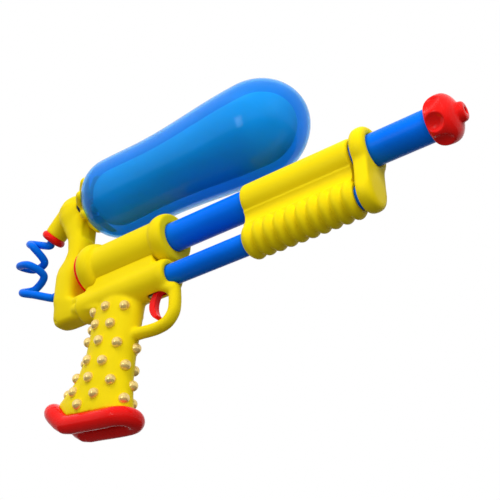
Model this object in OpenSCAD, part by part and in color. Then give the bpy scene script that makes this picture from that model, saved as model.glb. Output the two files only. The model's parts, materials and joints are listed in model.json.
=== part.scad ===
// Pump water squirter: tank on top, sliding pump handle, trigger valve in the grip.
// Millimetres. Origin at the hand's centre in the grip, +X to the muzzle, +Z up.

/* [Layout] */
// height of the barrel axis above the hand's centre
barrel_z = 105; // [95:0.5:115]
// pump tube axis below the barrel axis
pump_drop = 39.5; // [37:0.5:44]
// tank axis above the barrel axis
tank_rise = 80.5; // [78:0.5:92]
// centre of the post's head above the barrel axis
head_rise = 82; // [78:0.5:92]

/* [Barrel] */
// outside radius of the barrel tube
barrel_r = 13.5; // [12:0.1:15]
// wall of both blue tubes
tube_wall = 1.5; // [1:0.1:2.5]
// rear end of the barrel tube
barrel_rear = -30; // [-34:0.5:-10]
// front end of the barrel tube, inside the nozzle
barrel_front = 333; // [310:0.5:336]
// radius of the barrel housing between its beads
housing_r = 21; // [19:0.1:23]
// rear face of the barrel housing
housing_rear = -38; // [-42:0.5:-30]
// front face of the barrel housing
housing_front = 68; // [60:0.5:76]
// crest radius of the rear bead
rear_bead_r = 26; // [23:0.1:28]
// length of the rear bead
rear_bead_len = 18; // [12:0.5:24]
// crest radius of the front bead
front_bead_r = 24; // [22:0.1:27]
// length of the front bead
front_bead_len = 15; // [10:0.5:20]
// radius of the red gasket disc
gasket_r = 22.5; // [18:0.1:25]
// thickness of the gasket
gasket_t = 3; // [2:0.1:5]
// outside radius of the small rear coupler
coupler_r = 5; // [4:0.1:7]
// outside radius of the jet tube inside the barrel
jet_tube_r = 4; // [3:0.1:6]

/* [Pump] */
// outside radius of the pump tube
pump_r = 9.9; // [9:0.1:12]
// rear end of the pump tube, inside the body
pump_rear = -12; // [-16:0.5:-12]
// depth of the pump tube in the yoke
yoke_hold = 9.5; // [6:0.5:12]
// rear end of the handle
handle_rear = 152; // [146:0.5:160]
// length of the handle
handle_len = 106; // [90:0.5:106]
// outside radius of the smooth sleeve
sleeve_r = 17; // [16:0.1:20]
// crest radius of the ribbed lobe
rib_crest_r = 16.2; // [14:0.1:18]
// depth of the grooves between ribs
rib_depth = 3.4; // [1:0.1:4]
// number of ribs
rib_count = 10; // [6:1:14]
// pump stroke, handle to the rear
stroke = 70; // [40:1:74]
// radius of the pump rod
rod_r = 4; // [3:0.1:6]
// thickness of the key that joins handle and rod
key_t = 4; // [3:0.1:6]
// length of the key
key_len = 8; // [6:0.5:12]
// length of the piston
piston_len = 12; // [9:0.5:16]
// section radius of the piston seal
piston_seal_r = 1.2; // [0.8:0.1:1.6]

/* [Yoke] */
// gap between the resting handle and the yoke
yoke_gap = 2.5; // [1:0.5:4]
// thickness of the yoke
yoke_t = 14; // [10:0.5:18]
// outside radius of the upper ring
yoke_r = 21.5; // [19:0.1:24]
// outside radius of the lower lobe
yoke_lobe_r = 15.8; // [14:0.1:18]
// half width of the waist
yoke_waist = 15.4; // [8:0.1:15.5]
// rounding of the yoke's edges
yoke_round = 5; // [3:0.1:6]

/* [Nozzle] */
// rear face of the nozzle
nozzle_rear = 323.5; // [310:0.5:326]
// length of the nozzle
nozzle_len = 28; // [26:0.5:40]
// largest radius of the nozzle
nozzle_r = 19.8; // [18:0.1:24]
// radius of the nozzle's neck
nozzle_neck_r = 6.2; // [5:0.1:8]
// radius of the tip bead
nozzle_tip_r = 7.6; // [6:0.1:9]
// radius of the water outlet
outlet_r = 2.5; // [1.5:0.1:3]
// number of finger dents
dent_count = 7; // [4:1:10]
// radius of the ball that cuts a dent
dent_r = 10.5; // [6:0.1:14]

/* [Body] */
// radius of the lower pump housing
lower_r = 16.5; // [15:0.1:18]
// front face of the lower housing
lower_front = 67; // [60:0.5:72]
// half thickness of the web under the barrel
web_half = 12.5; // [9:0.1:14]
// rear face of the block at its shoulder
block_rear = -81; // [-86:0.5:-76]
// lean of the block's rear face
block_lean = 2; // [0:0.5:6]
// underside of the block
block_bottom = 55; // [52:0.5:58]
// half thickness of the block
block_half = 15; // [13:0.1:17]
// front face of the post
post_front = -51; // [-54:0.5:-49]
// half thickness of the post's neck
neck_half = 12; // [10:0.1:14]
// radius of the rounded head
head_r = 19; // [16:0.1:21]
// centre of the head along the barrel
head_x = -70; // [-74:0.5:-66]
// wall of the hollow body
wall = 3; // [2:0.1:4]
// radius of the trigger guard's rod
guard_r = 5.8; // [4.5:0.1:7]
// centre of the guard's front bar
guard_x = 71; // [66:0.5:76]
// centre of the guard's bottom bar
guard_z = 18; // [10:0.5:24]

/* [Grip] */
// half length of the grip section at the hand
grip_half = 27.5; // [22:0.5:29]
// half width of the grip section at the hand
grip_half_w = 16; // [13:0.1:18]
// half length of the heel
heel_half = 47; // [40:0.5:50]
// tilt of the heel, front down
heel_tilt = 14; // [8:0.5:18]
// radius of a stud
stud_r = 4.2; // [3:0.1:5]
// tube radius of the base ring
ring_r = 8.2; // [6:0.1:9]
// reach of the base ring's centre line past the heel
ring_over = -1; // [-3:0.5:4]
// half width of the base ring's centre line
ring_half_w = 12; // [11:0.1:18]
// height of the ring's flat front part
ring_low = -54; // [-64:0.5:-54]
// rise of the ring's rear end
ring_kick = 22; // [15:0.5:32]

/* [Trigger] */
// pivot of the trigger along the barrel
pivot_x = 55; // [52:0.5:58]
// radius of the pivot pins
pin_r = 1.5; // [1.2:0.1:2]
// width of the trigger blade
blade_w = 6.6; // [6:0.5:10]
// thickness of the trigger blade
blade_t = 6.6; // [5:0.1:9]
// drop of the trigger's tip below the pump axis
blade_drop = 39; // [30:0.5:42]
// radius of the blade's curve
blade_bow_r = 19; // [16:0.5:30]

/* [Tank] */
// radius of the tank's rear dome
dome_r = 39.4; // [36:0.1:42]
// centre of the rear dome
dome_x = -9; // [-14:0.5:-6]
// radius at the tank's waist
waist_r = 38.4; // [36:0.1:42]
// place of the waist
waist_x = 42; // [30:0.5:60]
// largest radius, near the front
bulge_r = 43.8; // [40:0.1:46]
// place of the largest radius
bulge_x = 160; // [140:0.5:168]
// length of the front dome
front_len = 50; // [40:0.5:60]
// wall of the tank
tank_wall = 2.4; // [1.5:0.1:3.5]
// inset of the bladder inside the tank
bladder_inset = 10; // [4:0.1:14]
// radius of the tank's neck
tank_neck_r = 11; // [9:0.1:13]
// rear end of the tank's neck
tank_neck_rear = -72; // [-76:0.5:-66]
// number of fingers on the fluted collar
finger_count = 9; // [6:1:12]
// radius of a finger
finger_r = 6; // [4:0.1:7]

/* [Hose] */
// outside radius of the coiled hose
hose_r = 4; // [3:0.1:5]
// radius of the coil
coil_r = 11; // [9:0.5:16]
// height of the coil from its first bend to its last
coil_drop = 70.5; // [60:0.5:80]
// heading of the coil's first bend
coil_face = 217; // [200:1:230]
// outside radius of the red gland ring
gland_r = 12; // [10:0.1:14]

/* [Fits] */
// radial running clearance of shafts in holes
run_gap = 0.05; // [0.02:0.01:0.09]
// clearance of other moving faces
move_gap = 0.4; // [0.3:0.05:0.8]
// assembly gap of parts that sit still
sit_gap = 0.1; // [0.05:0.01:0.2]

/* [Hidden] */
$fn = 64;
eps = 0.01;
overrun = 60;

pump_z = barrel_z - pump_drop;
tank_z = barrel_z + tank_rise;
head_z = barrel_z + head_rise;
handle_front = handle_rear + handle_len;
yoke_rear = handle_front + yoke_gap;
yoke_front = yoke_rear + yoke_t;
pump_front = yoke_rear + yoke_hold;
free_gap = 0.3;
yellow = [0.95, 0.83, 0.10];
blue = [0.12, 0.38, 0.85];
red = [0.85, 0.08, 0.10];
gold = [0.85, 0.70, 0.35];
steel = [0.70, 0.70, 0.72];
dark = [0.15, 0.15, 0.16];

function unit(v) = v / norm(v);
function mix(a, b, t) = a + (b - a) * t;
function sgnpow(c, p) = sign(c) * pow(abs(c), p);
function blend(t) = (1 - cos(180 * min(1, max(0, t)))) / 2;
// radius that makes an n-sided hole clear a circle
function outer(r, n) = r / cos(180 / n);
// radius of a rounded bead at distance d from its middle
function bead(base, crest, half, d) = base
  + (crest - base) * sqrt(max(0, 1 - d * d / (half * half)));

module along_x(x, z) {
  translate([x, 0, z]) rotate([0, 90, 0]) children();
}

module rod_x(x0, x1, r, z) {
  along_x(x0, z) cylinder(h = x1 - x0, r = r);
}

module tube_x(x0, x1, ro, ri, z) {
  difference() {
    rod_x(x0, x1, ro, z);
    rod_x(x0 - overrun, x1 + overrun, ri, z);
  }
}

// solid of revolution about a line along X, points given as [radius, x]
module turned(points, z) {
  along_x(0, z) rotate_extrude() polygon(points);
}

// rounded disc profile: [radius, x] points of a ring with rounded outer edges
function round_ring(x0, x1, ro, ri, edge, steps) = concat(
  [[ri, x0]],
  [for (i = [0:steps]) let (a = 90 * i / steps)
    [ro - edge + edge * sin(a), x0 + edge - edge * cos(a)]],
  [for (i = [0:steps]) let (a = 90 * i / steps)
    [ro - edge + edge * cos(a), x1 - edge + edge * sin(a)]],
  [[ri, x1]]);

// surface through rings of points, rings ordered along the sweep
module skin(rings, closed = false) {
  n = len(rings[0]);
  m = len(rings);
  last = closed ? m - 1 : m - 2;
  sides = [for (i = [0:last]) for (j = [0:n - 1])
    let (k = (i + 1) % m, l = (j + 1) % n)
    each [[k * n + j, k * n + l, i * n + l], [k * n + j, i * n + l, i * n + j]]];
  ends = closed ? [] : [[for (j = [0:n - 1]) j], [for (j = [0:n - 1]) m * n - 1 - j]];
  polyhedron([for (r = rings) each r], concat(sides, ends));
}

// rings of a round tube along a path
function path_dir(p, i, closed) = let (m = len(p),
  a = closed ? p[(i + m - 1) % m] : p[max(0, i - 1)],
  b = closed ? p[(i + 1) % m] : p[min(m - 1, i + 1)]) unit(b - a);
function tube_rings(p, r, n, hint, closed = false) = [for (i = [0:len(p) - 1])
  let (t = path_dir(p, i, closed), s = unit(cross(hint, t)), w = cross(t, s))
  [for (j = [0:n - 1]) p[i] + r * (cos(360 * j / n) * s + sin(360 * j / n) * w)]];

// smooth curve through route points
function curve_at(a, b, c, d, t) = (b * 2 + (c - a) * t + (a * 2 - b * 5 + c * 4 - d) * t * t
  + (b * 3 - a - c * 3 + d) * t * t * t) / 2;
function smooth(p, k) = [for (i = [0:len(p) - 2]) for (j = [0:k - 1])
  curve_at(p[max(0, i - 1)], p[i], p[i + 1], p[min(len(p) - 1, i + 2)], j / k)];

// post: block and neck by level; each list is a share of the size beside it
post_depth = post_front - block_rear;
block_h = 95;
block_rise_shares = [0, 0.021, 0.084, 0.189, 0.253, 0.568, 0.653, 0.747, 0.842, 1];
block_rear_shares = [0.23, 0.08, 0.025, 0.1, 0.1, 0.033, 0.033, 0.233, 0.367, 0.3];
block_front_shares = [0.42, 0.467, 0.467, 0.333, 0, 0, 0.033, 0.067, 0.1, 0.133];
block_lean_share = 0.25;
block_wide_shares = [0.52, 0.7, 0.82, 0.95, 1, 0.95, 0.88, 0.8, 0.8, 0.867];
block_edge_shares = [0.6, 0.6, 0.6, 0.6, 0.6, 0.62, 0.7, 0.78, 0.8, 0.84];
head_rise_shares = [-1.158, -0.526, 0.105, 0.579, 0.842, 1];
head_rear_shares = [-0.526, -0.895, -1, -0.842, -0.579, -0.263];
head_front_shares = [0.158, 0.053, 0, -0.105, -0.316, -0.684];
head_wide_shares = [0.789, 0.947, 1, 0.842, 0.632, 0.316];
head_edge_share = 0.86;
section_sides = 32;
// sections as [height, rear, front, half width, squareness]
post_sections = concat(
  [for (i = [0:len(block_rise_shares) - 1])
    [block_bottom + block_h * block_rise_shares[i],
     block_rear + post_depth * block_rear_shares[i]
       + block_lean * max(0, 1 - block_rise_shares[i] / block_lean_share),
     post_front + post_depth * block_front_shares[i],
     block_half * block_wide_shares[i], block_edge_shares[i]]],
  [for (i = [0:len(head_rise_shares) - 1])
    [head_z + head_r * head_rise_shares[i],
     head_x + head_r * head_rear_shares[i],
     post_front + head_r * head_front_shares[i],
     head_r * head_wide_shares[i], head_edge_share]]);

function level_ring(s) = [for (j = [0:section_sides - 1]) let (a = 360 * j / section_sides)
  [(s[1] + s[2]) / 2 + (s[2] - s[1]) / 2 * sgnpow(cos(a), s[4]),
   s[3] * sgnpow(sin(a), s[4]), s[0]]];

// grip: foot first, each list a share of the size beside it
grip_low = -52;
grip_high = 60;
grip_foot_x = -17;
grip_top_x = 5;
grip_rise_shares = [0, 0.089, 0.188, 0.321, 0.5, 0.714, 0.911, 1];
grip_lean_shares = [0, 0.091, 0.25, 0.5, 0.705, 0.84, 0.955, 1];
grip_tilt_shares = [1, 1, 0.857, 0.643, 0.429, 0.214, 0, 0];
grip_long_shares = [1, 0.99, 0.62, 0.21, 0, 0.026, 0.077, 0.026];
grip_wide_shares = [1.09, 1.11, 1.0625, 1.031, 1, 0.969, 0.9375, 0.875];
// sections as [x, height, tilt, half length, half width]
grip_sections = [for (i = [0:len(grip_rise_shares) - 1])
  [mix(grip_foot_x, grip_top_x, grip_lean_shares[i]), mix(grip_low, grip_high, grip_rise_shares[i]),
   heel_tilt * grip_tilt_shares[i], mix(grip_half, heel_half, grip_long_shares[i]),
   grip_half_w * grip_wide_shares[i]]];
function tilted_ring(s, inset) = [for (j = [0:section_sides - 1])
  let (a = 360 * j / section_sides, u = (s[3] - inset) * cos(a))
  [s[0] + u * cos(s[2]), (s[4] - inset) * sin(a), s[1] - u * sin(s[2])]];

// base ring: closed path, kicked up behind and sagging a little to the front
ring_x = grip_foot_x - ring_over;
ring_half = heel_half + ring_over;
ring_turn_x = -31;
ring_rise_len = 38;
ring_sag = 5;
ring_sag_x = -45;
ring_sag_len = 70;
ring_end_steps = 12;
ring_side_steps = 10;
ring_sides = 14;
function ring_height(x) = ring_low + ring_kick * blend((ring_turn_x - x) / ring_rise_len)
  - ring_sag * blend((x - ring_sag_x) / ring_sag_len);
function ring_end(x, start) = [for (i = [0:ring_end_steps])
  let (a = start + 180 * i / ring_end_steps) [x + ring_half_w * cos(a), ring_half_w * sin(a)]];
function ring_side(x0, x1, y) = [for (i = [1:ring_side_steps - 1]) [mix(x0, x1, i / ring_side_steps), y]];
ring_front_x = ring_x + ring_half - ring_half_w;
ring_rear_x = ring_x - ring_half + ring_half_w;
ring_path = [for (p = concat(ring_end(ring_front_x, -90), ring_side(ring_front_x, ring_rear_x, ring_half_w),
  ring_end(ring_rear_x, 90), ring_side(ring_rear_x, ring_front_x, -ring_half_w)))
  [p[0], p[1], ring_height(p[0])]];

// everything below the ring's centre line, which the foot leaves free
foot_cut_steps = 30;
foot_cut_half = overrun * 2;
foot_cut = concat([for (i = [0:foot_cut_steps])
  let (x = ring_x + mix(-foot_cut_half, foot_cut_half, i / foot_cut_steps)) [x, ring_height(x)]],
  [[ring_x + foot_cut_half, -foot_cut_half], [ring_x - foot_cut_half, -foot_cut_half]]);

// trigger guard route: front bar then bottom bar, as steps behind guard_x and heights
guard_corner = 8;
guard_nose_in = 8;
guard_backs = [2, 0, -0.5, 1, guard_corner, 20, 34, 48];
guard_drops = [13, 22, 32];
guard_lifts = [guard_corner, 1, -1, 0, 1];
guard_top_drop = 9;
guard_route = concat([[lower_front - guard_nose_in, 0, pump_z - guard_top_drop]],
  [for (i = [0:len(guard_backs) - 1]) let (k = i - len(guard_drops))
    [guard_x - guard_backs[i], 0, k < 0 ? pump_z - guard_drops[i] : guard_z + guard_lifts[k]]]);
guard_steps = 3;
guard_sides = 14;

// hose boss behind the head
boss_x = -102;
boss_drop = 14;
boss_mouth = [boss_x, 0, head_z - boss_drop];
boss_len = 26;
boss_root_r = 11.6;
boss_angle = 225;
boss_dir = [sin(boss_angle), 0, cos(boss_angle)];
gland_lip = 0.6;
hose_inlet_drop = 9;
hose_inlet_z = barrel_z - hose_inlet_drop;
hose_socket = 9;
hose_pocket = 3;

// ways inside the body
line_r = 2.6;
line_bore_r = 1.6;
valve_drop = 13.7;
valve_z = pump_z - valve_drop;
valve_r = 3.6;
valve_rear = -4;
valve_front = 20;
valve_tail = 12;
valve_nose = 9;
valve_gap = 0.4;
foot_wall = 5;
foot_open_drop = 30;
hollow_last = 5;
block_in_rear = 7;
block_in_front = 4.4;
block_in_half = 9.8;
block_in_h = 54;
gallery_in = 7;
gallery_half = 9;
gallery_h = 14;
pass_rear = -27;
pass_mid = -17.5;
pass_front = 3;
pass_half = 7.4;
pass_wide = 8;
pass_step = 0.3;
pass_low = 2.5;
pass_h = 8;
saddle_in = 11.6;
saddle_out = 13.9;
saddle_half = 3.5;
saddle_gap = 0.6;
saddle_back = 9;
saddle_ahead = 8;
saddle_top = 5;
slot_back = 13.5;
slot_len = 21.5;
slot_drop = 26;
slot_h = 16;
slot_side = 0.6;
pin_hole_len = 29.4;
pin_gap = 0.08;
stem_r = 1.5;
stem_gap = 0.2;
seat_in = 4;
seat_end = 0.5;
front_bead_gap = 1;
rear_bead_gap = 1.2;
coupler_in = 10;
socket_rear = -76;
socket_front = -56;
socket_wall = 3;
screw_shank_r = 1.5;
screw_head_r = 3;
screw_head_t = 2.4;
screw_boss_r = 4;
screw_len = 16;
screw_tip = 0.5;
screw_reach = 14.4;
screw_gap = 0.06;
screw_head_gap = 0.2;
screw_head_y = 8.5;
cross_len = 3.2;
cross_w = 0.8;
cross_floor = 1;
screw_block = [[-72, 64], [-72, 104]];
screw_grip = [[-14, 24], [-14, -24]];
screw_web_x = [8, 46];
screw_web_rise = 14.2;
screw_spots = concat(screw_block, screw_grip,
  [for (x = screw_web_x) [x, pump_z + screw_web_rise]]);
air_x = -60;
air_y = 5;
air_low = pump_z;

module from_boss(t) {
  translate(boss_mouth + t * boss_dir) rotate([0, boss_angle, 0]) children();
}

module body_form() {
  skin([for (s = post_sections) level_ring(s)]);
  skin([for (s = grip_sections) tilted_ring(s, 0)]);
  skin(tube_rings(smooth(guard_route, guard_steps), guard_r, guard_sides, [0, 1, 0]));
  from_boss(-boss_len) cylinder(h = boss_len, r1 = boss_root_r, r2 = gland_r - gland_lip, $fn = 32);
  from_boss(-boss_len) sphere(boss_root_r, $fn = 32);
  lower_body();
}

// pump housing: round nose, web to the barrel housing, fairings to block, grip and guard
nose = 4;
lower_tail = -40;
lower_taper = 1;
web_rear = -30;
web_taper = 2;
fair_r = 6;
fair_step = 1;
fair_back = 12;
fair_side = 6;
fair_drop = 8;
fair_in = 2;
fair_narrow = 1.5;
fair_deep = 16;
// fairing balls as [x, side, height from the pump axis]
fair_low = [[-44, 8, -2], [-14, 9, -10]];
fair_high = [[-44, 8, 6], [-20, 7, 8]];
fair_nose = [[lower_front - fair_back, fair_side, -fair_drop],
  [guard_x - fair_in, fair_narrow, -fair_deep]];

module ball_at(p, side, r) {
  translate([p[0], side * p[1], pump_z + p[2]]) sphere(r, $fn = 24);
}

module lower_body() {
  hull() {
    rod_x(lower_front - nose, lower_front, lower_r - nose / 2, pump_z, $fn = 40);
    rod_x(lower_front - nose * 2, lower_front - nose, lower_r, pump_z, $fn = 40);
    rod_x(lower_tail, lower_tail + nose, lower_r - lower_taper, pump_z, $fn = 40);
  }
  hull() {
    rod_x(web_rear, housing_front - front_bead_len, web_half, barrel_z - housing_r, $fn = 32);
    rod_x(web_rear, housing_front - front_bead_len, lower_r - web_taper, pump_z, $fn = 32);
  }
  for (s = [-1, 1]) {
    hull() {
      ball_at(fair_low[0], s, fair_r);
      ball_at(fair_low[1], s, fair_r - fair_step);
    }
    hull() {
      ball_at(fair_high[0], s, fair_r);
      ball_at(fair_high[1], s, fair_r);
    }
    hull() {
      ball_at(fair_nose[0], s, fair_r);
      ball_at(fair_nose[1], s, guard_r);
    }
  }
}

// open foot of the hollow grip
grip_foot = grip_sections[0];
foot_open = [grip_foot[0], grip_foot[1] - foot_open_drop, grip_foot[2], grip_foot[3], grip_foot[4]];

module body_ways() {
  // barrel housing seat and the open space round its beads
  along_x(housing_rear + rear_bead_len - seat_in, barrel_z)
    cylinder(h = overrun * 3, r = outer(housing_r + sit_gap, 64), $fn = 64);
  along_x(housing_front - front_bead_len - front_bead_gap, barrel_z)
    cylinder(h = overrun, r = front_bead_r + front_bead_gap, $fn = 48);
  rod_x(post_front, housing_rear + rear_bead_len, rear_bead_r + rear_bead_gap, barrel_z);
  // pump tube
  along_x(pump_rear - seat_end, pump_z)
    cylinder(h = overrun * 3, r = outer(pump_r + sit_gap, 64), $fn = 64);
  // hollow grip and block
  skin(concat([tilted_ring(foot_open, foot_wall)],
    [for (i = [0:hollow_last]) tilted_ring(grip_sections[i], i < 2 ? foot_wall : wall)]));
  translate([block_rear + block_in_rear, -block_in_half, block_bottom + wall])
    cube([post_depth - block_in_rear - block_in_front, block_in_half * 2, block_in_h]);
  translate([post_front - gallery_in, -gallery_half, block_bottom + wall])
    cube([pump_rear - post_front + gallery_in, gallery_half * 2, gallery_h]);
  translate([pass_rear, -pass_half, valve_z + pass_step])
    cube([pass_mid - pass_rear + wall, pass_half * 2, pass_h]);
  translate([pass_mid, -pass_wide, valve_z - pass_low])
    cube([pass_front - pass_mid, pass_wide * 2, pass_h]);
  // valve and plunger
  rod_x(valve_rear - valve_tail, valve_front + valve_nose, valve_r + valve_gap, valve_z, $fn = 48);
  rod_x(valve_front, pivot_x, stem_r + stem_gap, valve_z, $fn = 32);
  // trigger saddle, blade and pins
  intersection() {
    tube_x(pivot_x - saddle_back, pivot_x + saddle_ahead, saddle_out + saddle_gap, pump_r, pump_z);
    translate([-overrun, -overrun, pump_z - overrun])
      cube([overrun * 3, overrun * 2, overrun + saddle_top]);
  }
  translate([pivot_x - slot_back, -blade_w / 2 - slot_side, pump_z - slot_drop])
    cube([slot_len, blade_w + slot_side * 2, slot_h]);
  translate([pivot_x, 0, pump_z]) rotate([90, 0, 0])
    cylinder(h = pin_hole_len, r = pin_r + pin_gap, center = true, $fn = 32);
  // air way up the post and tank socket in the head
  translate([air_x, air_y, air_low]) cylinder(h = tank_z - air_low, r = line_r + free_gap, $fn = 32);
  along_x(socket_rear, tank_z)
    cylinder(h = overrun, r = outer(tank_neck_r + socket_wall + sit_gap, 64));
  // room for the turning collar
  along_x(collar_rear - move_gap, tank_z) cylinder(h = overrun, r = head_r * 2);
  // hose ends
  from_boss(-hose_socket) cylinder(h = overrun, r = outer(hose_r + sit_gap, 32), $fn = 32);
  along_x(block_rear - overrun, hose_inlet_z)
    cylinder(h = overrun + hose_socket + hose_pocket, r = hose_r + sit_gap * 2, $fn = 32);
  // way from the valve up to the barrel
  rod_x(post_front - coupler_in, post_front + overrun, coupler_r + sit_gap, barrel_z, $fn = 48);
  // foot ring and the space below it
  translate([0, overrun, 0]) rotate([90, 0, 0]) linear_extrude(overrun * 2) polygon(foot_cut);
  skin(tube_rings(ring_path, ring_r, ring_sides, [0, 0, 1], true), true);
}

// columns that take the screws; the head sits in the left half
module screw_columns() {
  for (p = screw_spots) translate([p[0], 0, p[1]]) rotate([90, 0, 0])
    cylinder(h = screw_reach * 2, r = screw_boss_r, center = true, $fn = 24);
}

module screw_holes() {
  for (p = screw_spots) translate([p[0], 0, p[1]]) rotate([-90, 0, 0]) {
    translate([0, 0, screw_head_y - screw_len])
      cylinder(h = screw_len, r = screw_shank_r + screw_gap, $fn = 24);
    translate([0, 0, screw_head_y])
      cylinder(h = overrun, r = screw_head_r + screw_head_gap, $fn = 24);
  }
}

module body_half(side) {
  color(yellow) intersection() {
    difference() {
      union() {
        difference() {
          body_form();
          body_ways();
        }
        intersection() {
          body_form();
          screw_columns();
        }
      }
      screw_holes();
    }
    translate([-overrun * 4, side > 0 ? 0 : -overrun, -overrun * 3])
      cube([overrun * 8, overrun, overrun * 8]);
  }
}

module body_right() {
  body_half(-1);
}

module body_left() {
  body_half(1);
}

module body_screws() {
  color(steel) for (p = screw_spots) translate([p[0], 0, p[1]]) rotate([-90, 0, 0]) {
    translate([0, 0, screw_head_y - screw_len + screw_tip])
      cylinder(h = screw_len - screw_tip, r = screw_shank_r);
    difference() {
      translate([0, 0, screw_head_y]) cylinder(h = screw_head_t, r = screw_head_r);
      for (a = [0, 90]) rotate([0, 0, a])
        translate([-cross_len / 2, -cross_w / 2, screw_head_y + cross_floor])
          cube([cross_len, cross_w, screw_head_t]);
    }
  }
}

// studs: rows follow the grip's sections, alternate rows shifted half a step
function grip_at(s) = let (i = min(len(grip_sections) - 2, floor(s)), t = s - i)
  [for (k = [0:4]) mix(grip_sections[i][k], grip_sections[i + 1][k], t)];
stud_levels = [1, 1.95, 2.83, 3.65, 4.46, 5.15, 5.92];
studs_round = 7;
stud_phase = -94;
stud_row_lean = 0.25;
stud_oval = 6.6;
stud_spare = 0.4;
stud_top = 40;
function stud_angle(i, j) = let (t = stud_phase + 360 / studs_round * (j + (i % 2) / 2))
  t + stud_oval * sin(2 * t);
function clear_of(p, path, d) = min([for (q = path) norm(p - q)]) > d;
function on_grip(s, a) = let (g = grip_at(s), u = g[3] * cos(a))
  [g[0] + u * cos(g[2]), g[4] * sin(a), g[1] - u * sin(g[2])];
function stud_free(p) = clear_of(p, ring_path, ring_r + stud_r + stud_spare)
  && clear_of(p, guard_route, guard_r + stud_r + stud_spare)
  && (p[2] < stud_top || abs(p[1]) > stud_r * 2);
stud_spots = [for (i = [0:len(stud_levels) - 1]) for (j = [0:studs_round - 1])
  let (a = stud_angle(i, j), p = on_grip(stud_levels[i] - stud_row_lean * cos(a), a))
  if (stud_free(p)) p];

module grip_studs() {
  color(gold) for (p = stud_spots) translate(p) sphere(stud_r);
}

module base_ring() {
  color(red) skin(tube_rings(ring_path, ring_r, ring_sides, [0, 0, 1], true), true);
}

bead_steps = 10;
function bead_points(start, length, crest) = [for (i = [0:bead_steps])
  let (d = length / 2 * (2 * i / bead_steps - 1))
  [bead(housing_r, crest, length / 2, d), start + length / 2 + d]];
housing_points = concat(
  [[barrel_r, housing_rear]],
  bead_points(housing_rear, rear_bead_len, rear_bead_r),
  bead_points(housing_front - front_bead_len, front_bead_len, front_bead_r),
  [[barrel_r, housing_front]]);

module barrel_housing() {
  color(yellow) turned(housing_points, barrel_z);
}

module barrel_tube() {
  color(blue) tube_x(barrel_rear, barrel_front, barrel_r, barrel_r - tube_wall, barrel_z);
}

module barrel_gasket() {
  color(red) difference() {
    turned(round_ring(housing_rear - gasket_t, housing_rear, gasket_r, 0, gasket_t / 2, 4), barrel_z);
    rod_x(housing_rear - overrun, housing_rear + overrun, line_r, barrel_z);
  }
}

barrel_plug_in = 10;
module barrel_plug() {
  color(yellow) difference() {
    union() {
      rod_x(housing_rear, barrel_rear, barrel_r, barrel_z);
      rod_x(barrel_rear - eps, barrel_rear + barrel_plug_in, barrel_r - tube_wall, barrel_z);
    }
    rod_x(housing_rear - overrun, barrel_rear, line_r, barrel_z);
    rod_x(barrel_rear - eps, barrel_rear + overrun, jet_tube_r, barrel_z);
  }
}

coupler_hold = 4;
module rear_coupler() {
  color(red) tube_x(post_front - coupler_hold, housing_rear - gasket_t, coupler_r, line_r, barrel_z);
}

jet_tube_wall = 1;
jet_tube_in = 8;
module jet_tube() {
  color(dark) tube_x(barrel_rear, nozzle_rear + jet_tube_in, jet_tube_r, jet_tube_r - jet_tube_wall,
    barrel_z);
}

waist_set_in = 0.8;
module front_yoke() {
  color(yellow) difference() {
    union() {
      turned(round_ring(yoke_rear, yoke_front, yoke_r, 0, yoke_round, 6), barrel_z);
      turned(round_ring(yoke_rear, yoke_front, yoke_lobe_r, 0, yoke_round, 6), pump_z);
      translate([yoke_rear + waist_set_in, -yoke_waist, pump_z])
        cube([yoke_t - waist_set_in * 2, yoke_waist * 2, pump_drop]);
    }
    rod_x(yoke_rear - overrun, yoke_rear + overrun, barrel_r, barrel_z);
    rod_x(yoke_rear - overrun, pump_front, pump_r, pump_z);
  }
}

// pump tube: closed bore behind, slot along the top in front for the handle's key
key_gap = 0.4;
key_set_in = 6;
key_run = 2;
key_x = handle_rear + key_set_in;
module pump_tube() {
  color(blue) difference() {
    tube_x(pump_rear, pump_front, pump_r, pump_r - tube_wall, pump_z);
    translate([key_x - stroke - key_run, -key_t / 2 - key_gap, pump_z])
      cube([stroke + key_len + key_run * 2, key_t + key_gap * 2, pump_r * 2]);
  }
}

plug_len = 9;
ball_r = 2.2;
ball_room_rear = 3;
ball_room_front = 8;
ball_x = 5.4;
module pump_plug() {
  color(dark) difference() {
    rod_x(pump_rear, pump_rear + plug_len, pump_r - tube_wall, pump_z);
    rod_x(pump_rear - overrun, pump_rear + overrun, line_bore_r, pump_z);
    rod_x(pump_rear + ball_room_rear, pump_rear + ball_room_front, ball_r + free_gap, pump_z);
  }
}

module check_ball() {
  color(steel) translate([pump_rear + ball_x, 0, pump_z]) sphere(ball_r);
}

// flexible lines inside the body, swept along routes
line_steps = 4;
line_sides = 8;
air_slack = 0.3;
supply_slack = 0.4;
outlet_slack = 0.6;
module line_run(route, r) {
  path = concat(smooth(route, line_steps), [route[len(route) - 1]]);
  skin(tube_rings(path, r, line_sides, [0, 1, 0]));
}

// air: bends as [x, side, height above the pump axis], then straight up the post
air_lead = 6;
air_bends = [[-30, 0.3, 0.4], [-44, 3.5, 1.5], [-55, 4.9, 2.2], [-59.3, 5, 7.5]];
air_rises = [17, 40];
air_stop = 15;
air_route = concat(
  [[pump_rear - free_gap, 0, pump_z], [pump_rear - air_lead, 0, pump_z]],
  [for (b = air_bends) b + [0, 0, pump_z]],
  [for (h = air_rises) [air_x, air_y, pump_z + h]],
  [[air_x, air_y, tank_z - air_stop]]);
module air_line() {
  color(dark) line_run(air_route, line_r - air_slack);
}

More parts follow.
